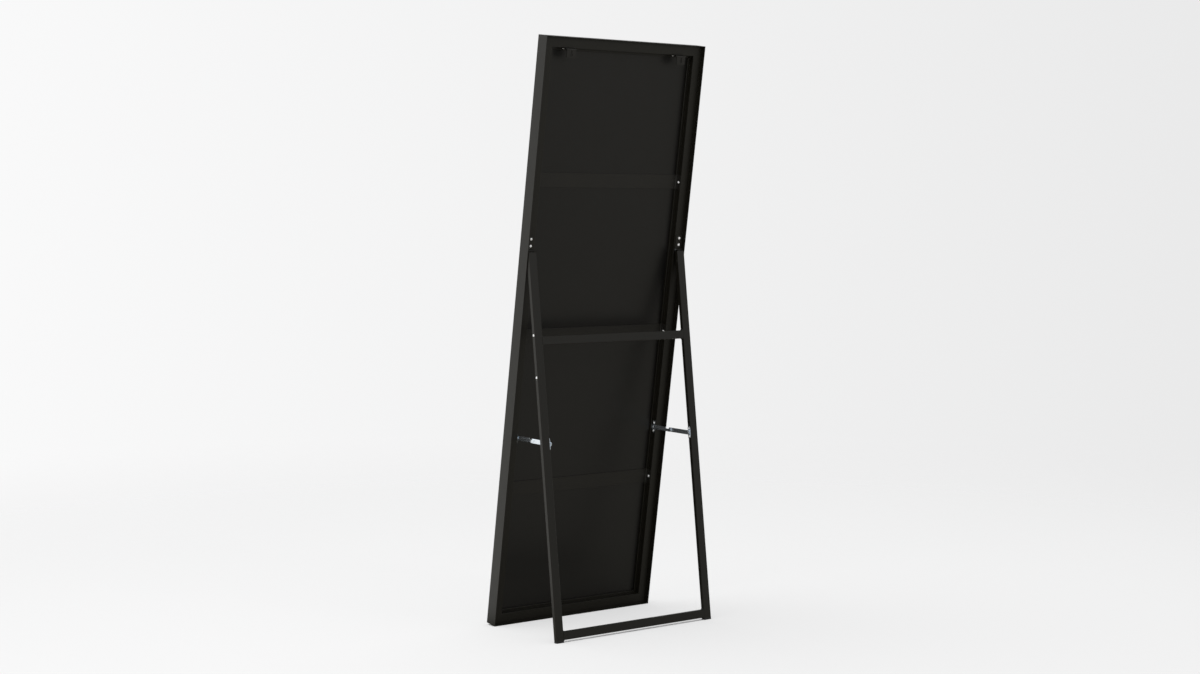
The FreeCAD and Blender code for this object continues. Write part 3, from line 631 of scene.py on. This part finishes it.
def seat_of(points, direction):
    """Matrix that puts a screw made along +Z in a CAD screw's place, and the CAD screw's length."""
    turn = Vector((0, 0, 1)).rotation_difference(direction).to_matrix()
    local = [turn.inverted() @ p for p in points]
    low = [min(p[k] for p in local) for k in range(3)]
    high = [max(p[k] for p in local) for k in range(3)]
    top = turn @ Vector(((low[0] + high[0]) / 2, (low[1] + high[1]) / 2, high[2]))
    return Matrix.Translation(top) @ turn.to_4x4(), high[2] - low[2]


def join(pieces, name):
    """Makes one piece of several, with its place in its mesh."""
    deselect()
    for piece in pieces:
        piece.select_set(True)
    bpy.context.view_layer.objects.active = pieces[0]
    bpy.ops.object.join()
    joined = bpy.context.active_object
    bpy.ops.object.transform_apply(location=True, rotation=True, scale=True)
    joined.name = name
    return joined


def copy_of(piece, matrix):
    """A copy with its own mesh, put in its place."""
    made = piece.copy()
    made.data = piece.data.copy()
    made.data.transform(matrix)
    bpy.context.scene.collection.objects.link(made)
    return made


def screw_set(node, name, heading, form, sizes):
    """Screws with crossed heads in the places of a node's plain ones."""
    made = []
    template = None
    for count, points in enumerate(separate_solids(node, SCREW_REACH)):
        direction = heading
        if isinstance(heading, int):
            direction = ACROSS * math.copysign(heading, heading * points[0].x)
        matrix, length = seat_of(points, direction)
        if template is None:
            template = crossed_screw(length, form, sizes)
        made.append(copy_of(template, matrix @ Matrix.Rotation(SCREW_TURN * count, 4, "Z")))
    bpy.data.objects.remove(template)
    return join(made, name)


def weld_bead(length, sizes):
    """Rippled bead along Y, with round ends."""
    steps = BEAD_RINGS * sizes.bead_ripples
    profile = []
    for k in range(steps + 1):
        along = k / steps
        swell = math.sqrt(max(0.0, 1 - (2 * along - 1) ** BEAD_BLUNT))
        ripple = 1 - BEAD_RIPPLE * math.cos(2 * math.pi * sizes.bead_ripples * along)
        profile.append((sizes.bead_radius * swell * ripple, length * (along - 0.5)))
    bead = lathe("weld_bead", profile, BEAD_SIDES)
    smooth(bead, BEAD_CREASE)
    bead.data.transform(Matrix.Rotation(math.pi / 2, 4, "X"))
    return bead


def leg_lean():
    """Turn from upright to the lean of the open legs."""
    rise = HINGE - FOOT
    return Matrix.Rotation(-math.atan2(rise.y, rise.z), 4, "X")


def reach_along(node, direction):
    """How far a CAD node reaches along a direction, from end to end."""
    reach = [direction.dot(vertex.co) for vertex in frame["nodes"][node].data.vertices]
    return max(reach) - min(reach)


def bar_welds(bar, lean, sizes):
    """Beads above and below both ends of a crossbar."""
    back, up = lean @ Vector((0, 1, 0)), lean @ Vector((0, 0, 1))
    low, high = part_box(bar)
    middle = (low + high) / 2
    rise = up * reach_along(bar, up) / 2
    places = [Vector((x, middle.y, middle.z)) + rise * side for x in (low.x, high.x) for side in (-1, 1)]
    bead = weld_bead(reach_along(bar, back) * BEAD_REACH, sizes)
    beads = [copy_of(bead, Matrix.Translation(place) @ lean) for place in places]
    bpy.data.objects.remove(bead)
    return beads


# Floor
FLOOR_SIZE = 24.0
FLOOR_CUTS = 5
FLOOR_FADE = (1.2, 5.0)        # where the floor starts to give way to the backdrop, and where it has
FLOOR_TURN = (-0.34, -0.14)    # from the bright floor before the mirror to the dim floor behind it
FLOOR_TOUCH = 0.010            # how near a piece darkens the floor under it, a painted contact shadow cut out of the floor's glow
TOUCH_SAMPLES = 8
TOUCH_SPREAD = (0.40, 0.95)    # openness of the floor between which its shadow gets filled by the painted glow


def pale_matt(name, studio):
    """Matt floor with its own tone for gloss, shadows partly filled by a painted glow, a painted contact shadow,
    and a soft end.
    """
    material, start = new_material(name)
    seen = start.ray("Camera")
    place = start.place()
    behind = place.part("Y").between(*FLOOR_TURN)
    glossed = behind.mix(rgba(studio.floor_shine), rgba(studio.floor_shade))
    colour = seen.mix(glossed, rgba(studio.floor_colour))
    matt = start.node("ShaderNodeBsdfDiffuse", {}, {"Color": colour})
    # Painted glow, seen by the camera only, that partly fills the floor's real shadows
    pale = start.node("ShaderNodeEmission", {}, {"Color": rgba(studio.backdrop), "Strength": 1.0})
    # Painted contact shadow: the glow is held back where a piece comes near the floor
    painted_contact_shadow = start.node("ShaderNodeAmbientOcclusion", {"samples": TOUCH_SAMPLES},
                       {"Distance": FLOOR_TOUCH}, output="AO")
    painted_fill = seen * painted_contact_shadow.between(*TOUCH_SPREAD) * studio.floor_lift
    gone = start.node("ShaderNodeBsdfTransparent", {}, {})
    return surfaced(material, place.length().between(*FLOOR_FADE).blend(painted_fill.blend(matt, pale), gone))


def set_floor(studio):
    """Pale floor that keeps the mirror's shadow and fades into the backdrop."""
    deselect()
    bpy.ops.mesh.primitive_plane_add(size=FLOOR_SIZE)
    floor = bpy.context.active_object
    floor.name = "floor"
    edit(floor)
    bpy.ops.mesh.subdivide(number_cuts=FLOOR_CUTS)
    bpy.ops.object.mode_set(mode="OBJECT")
    cover(floor, pale_matt("pale_floor", studio))


# Backdrop, and the room that gloss shows
BACKDROP_LEFT = (0.79, -0.61, 0.0)
BACKDROP_REACH = 0.30          # its tone changes this far to each side of the view's middle
ROOM_TURN = (-0.9, 0.9)        # from the bright wall before the mirror to the dim one behind it
ROOM_TONES = (0.56, 0.94)      # the dim wall and the bright one, of the backdrop
SKIRTING = (-0.06, 0.06)       # heights between which the floor turns into the walls
CEILING = (0.03, 0.70)         # heights between which the room dims towards its ceiling
CEILING_DIMS = 0.38
SKY_WHITE = (1, 1, 1)


def plain_backdrop(way, studio):
    """The backdrop as the camera sees it, with painted light making it a little paler towards its left."""
    left = way.dot(BACKDROP_LEFT).between(-BACKDROP_REACH, BACKDROP_REACH, curve="LINEAR")
    return left.mix(*tones(studio.backdrop, (1 - studio.slope, 1 + studio.slope)))


def lit_room(way, studio):
    """The room as gloss shows it, bright before the mirror and dim behind it."""
    front = 1 - way.part("Y").between(*ROOM_TURN)
    rise = way.part("Z")
    walls = front.mix(*tones(studio.backdrop, ROOM_TONES))
    floor = front.mix(rgba(studio.floor_shade), rgba(studio.floor_shine))
    return rise.between(*SKIRTING).mix(floor, walls).scaled(1 - rise.between(*CEILING) * CEILING_DIMS)


def set_sky(scene, studio):
    """Soft light from all round; seen directly it is the plain backdrop, and in gloss a lit room."""
    world = bpy.data.worlds.new("studio")
    world.use_nodes = True
    world.node_tree.nodes.clear()
    start = Signal(world.node_tree)
    glossy = start.ray("Glossy")
    way = start.place("Generated")
    seen = glossy.mix(plain_backdrop(way, studio), lit_room(way, studio))
    shown = start.node("ShaderNodeBackground", {}, {"Color": seen, "Strength": 1.0})
    light = start.node("ShaderNodeBackground", {},
                       {"Color": rgba(SKY_WHITE), "Strength": studio.sky_level})
    either = (start.ray("Camera") + glossy + start.ray("Transmission")).blend(light, shown)
    start.node("ShaderNodeOutputWorld", {}, {"Surface": either})
    scene.world = world


# Lamps and camera
KEY_PLACE = (1.6, -0.6, 3.6)
KEY_SIZE = 3.0
GLEAM_PLACES = ((2.67, 0.72, 1.97), (-0.89, 2.85, 2.38))
GLEAM_SIZE = 0.5
SENSOR = 36.0                  # millimetres
FAR_END = 100.0                # how far the camera sees


def aimed(name, data, place, aim):
    """Puts a lamp or a camera in its place and turns it to its aim."""
    holder = bpy.data.objects.new(name, data)
    holder.location = place
    holder.rotation_euler = (Vector(aim) - Vector(place)).to_track_quat("-Z", "Y").to_euler()
    bpy.context.scene.collection.objects.link(holder)
    return holder


def set_lamp(name, place, size, power, aim):
    """Square lamp that the camera doesn't see."""
    lamp = bpy.data.lights.new(name, "AREA")
    lamp.energy = power
    lamp.size = size
    aimed(name, lamp, place, aim).visible_camera = False


def set_lamps(studio):
    """Large soft lamp overhead, and two small ones whose gleams show on the screws and the zinc."""
    set_lamp("key", KEY_PLACE, KEY_SIZE, studio.key_power, studio.aim)
    for count, place in enumerate(GLEAM_PLACES):
        set_lamp("gleam_%d" % count, place, GLEAM_SIZE, studio.gleam_power, studio.aim)


def set_camera(scene, studio):
    """Camera at the photograph's viewing angle."""
    view = bpy.data.cameras.new("view")
    view.sensor_fit = "HORIZONTAL"
    view.sensor_width = SENSOR
    view.lens = studio.lens
    view.clip_end = FAR_END
    scene.camera = aimed("view", view, studio.eye, studio.aim)


class MIRROR_OT_coat_frame(bpy.types.Operator):
    """Powder coats the rails, the stand, the hinges and the straps, and caps the feet"""
    bl_idname = "mirror.coat_frame"
    bl_label = "Coat Frame and Stand"

    def execute(self, context):
        finishes = context.scene.mirror_finishes
        dress(RAILS + STEELWORK, powder_coat(COAT, finishes.coat_colour, finishes))
        dress(BACK_STRAPS, powder_coat("lighter_black_coat", finishes.strap_colour, finishes))
        dress(FOOT_CAPS, moulded("moulded_black", finishes.cap_colour, CAP_GRAIN))
        return {"FINISHED"}


class MIRROR_OT_glaze(bpy.types.Operator):
    """Finishes the glass, the film and the board behind it, and the corner keys"""
    bl_idname = "mirror.glaze"
    bl_label = "Glaze Mirror"

    def execute(self, context):
        finishes = context.scene.mirror_finishes
        dress(("mirror_glass",), silvering("silvered_glass", finishes))
        dress(("backing_board",), laminate("black_laminate", finishes))
        dress(("safety_film",), moulded("safety_film_grey", slot_colour("film"), FILM_GRAIN))
        dress(("corner_keys",), moulded("key_plastic", slot_colour("keys"), KEY_GRAIN))
        return {"FINISHED"}


class MIRROR_OT_plate_stays(bpy.types.Operator):
    """Zinc plates the folding stays, their rivets and the hinge pins"""
    bl_idname = "mirror.plate_stays"
    bl_label = "Plate Stays"

    def execute(self, context):
        finishes = context.scene.mirror_finishes
        dress(STAYS, zinc("drawn_zinc", finishes.zinc_colour, finishes, **DRAWN))
        dress(RIVETS, zinc("turned_zinc", finishes.zinc_colour, finishes, **TURNED))
        return {"FINISHED"}


class MIRROR_OT_drive_screws(bpy.types.Operator):
    """Puts crossed screws in the places of the plain ones"""
    bl_idname = "mirror.drive_screws"
    bl_label = "Drive Screws"

    def execute(self, context):
        finishes = context.scene.mirror_finishes
        sizes = context.scene.mirror_fittings
        plated = {"screws": zinc("screw_zinc_painted_gleam", finishes.screw_colour, finishes, **SCREW_PAINTED_GLEAM),
                  "steel_black": bpy.data.materials[COAT]}
        for node, name, body, heading, form in SCREWS:
            piece = screw_set(node, name, heading, form, sizes)
            slot = slot_of(node)
            cover(piece, plated[slot])
            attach(piece, body)
            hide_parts(node)
        return {"FINISHED"}


class MIRROR_OT_weld_crossbars(bpy.types.Operator):
    """Lays a weld bead above and below each end of the crossbars"""
    bl_idname = "mirror.weld_crossbars"
    bl_label = "Weld Crossbars"

    def execute(self, context):
        lean = leg_lean()
        for bar in CROSSBARS:
            piece = join(bar_welds(bar, lean, context.scene.mirror_fittings), bar + "_welds")
            cover(piece, bpy.data.materials[COAT])
            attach(piece, "stand")
        return {"FINISHED"}


class MIRROR_OT_set_stage(bpy.types.Operator):
    """Sets the pale floor, the soft light and the camera"""
    bl_idname = "mirror.set_stage"
    bl_label = "Set Stage"

    def execute(self, context):
        studio = context.scene.mirror_studio
        set_floor(studio)
        set_sky(context.scene, studio)
        set_lamps(studio)
        set_camera(context.scene, studio)
        context.scene.view_settings.view_transform = "Standard"
        return {"FINISHED"}


class MIRROR_PT_dressing(bpy.types.Panel):
    """Lists the steps and what they read"""
    bl_idname = "MIRROR_PT_dressing"
    bl_label = "Floor Mirror"
    bl_space_type = "VIEW_3D"
    bl_region_type = "UI"
    bl_category = "Floor Mirror"

    def draw(self, context):
        for step in STEPS:
            self.layout.operator(step.bl_idname)
        for group in GROUPS:
            settings = getattr(context.scene, group)
            for name in settings.__annotations__:
                self.layout.prop(settings, name)


GROUPS = {"mirror_finishes": MirrorFinishes, "mirror_fittings": MirrorFittings,
          "mirror_studio": MirrorStudio}
STEPS = (MIRROR_OT_coat_frame, MIRROR_OT_glaze, MIRROR_OT_plate_stays, MIRROR_OT_drive_screws,
         MIRROR_OT_weld_crossbars, MIRROR_OT_set_stage)
CLASSES = (*GROUPS.values(), *STEPS, MIRROR_PT_dressing)


def register():
    """Makes the settings, the steps and the panel known to Blender."""
    for item in CLASSES:
        bpy.utils.register_class(item)
    for name, group in GROUPS.items():
        setattr(bpy.types.Scene, name, PointerProperty(type=group))


def unregister():
    """Takes them back out."""
    for name in GROUPS:
        delattr(bpy.types.Scene, name)
    for item in reversed(CLASSES):
        bpy.utils.unregister_class(item)


def main():
    """Dresses the mirror and sets its stage."""
    register()
    bpy.ops.mirror.coat_frame()
    bpy.ops.mirror.glaze()
    bpy.ops.mirror.plate_stays()
    bpy.ops.mirror.drive_screws()
    bpy.ops.mirror.weld_crossbars()
    bpy.ops.mirror.set_stage()


if __name__ == "__main__":
    main()
